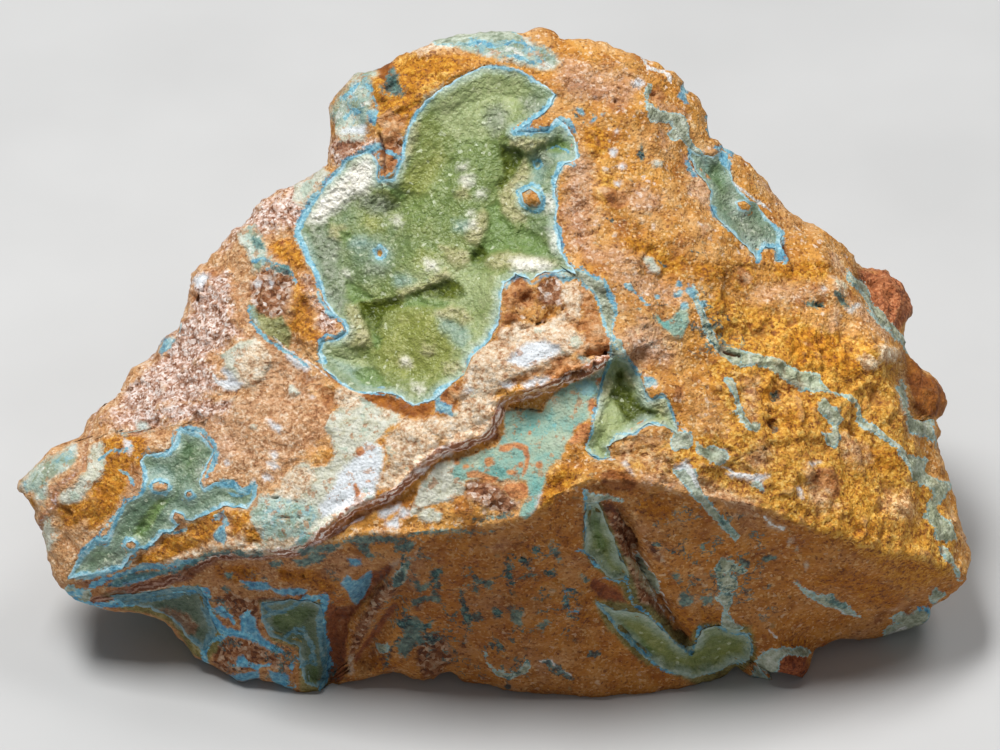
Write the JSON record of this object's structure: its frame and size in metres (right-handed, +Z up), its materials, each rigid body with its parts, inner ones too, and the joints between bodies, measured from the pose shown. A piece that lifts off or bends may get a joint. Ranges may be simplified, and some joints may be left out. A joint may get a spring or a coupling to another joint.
{
  "type": "senegalite mineral specimen with turquoise",
  "caption": "Rough wedge-shaped ochre rock with turquoise veins and pockets lined by pale green senegalite crystals, for display on a shelf or table.",
  "frame": {"origin": "middle of the bounding box in plan, on the plane that the stone rests on", "axes": "+Z up from the resting face, -Y towards the viewer of the stone's front, +X to that viewer's right, along the stone's length"},
  "size_m": [0.1006, 0.0496, 0.0586],
  "materials": {
    "ochre_rock": "rough, broken",
    "main_green": "sparkling crystal crust",
    "centre_green": "sparkling crystal crust",
    "left_green": "sparkling crystal crust",
    "upper_right_green": "sparkling crystal crust",
    "front_band_green": "sparkling crystal crust",
    "lower_right_green": "sparkling crystal crust",
    "lower_left_green": "sparkling crystal crust",
    "foot_green": "sparkling crystal crust"
  },
  "bodies": {
    "root": {"matrix": "ochre_rock", "main_druse": "main_green", "centre_druse": "centre_green", "left_druse": "left_green", "upper_right_druse": "upper_right_green", "front_band_druse": "front_band_green", "lower_right_druse": "lower_right_green", "lower_left_druse": "lower_left_green", "foot_druse": "foot_green"}
  },
  "joints": []
}
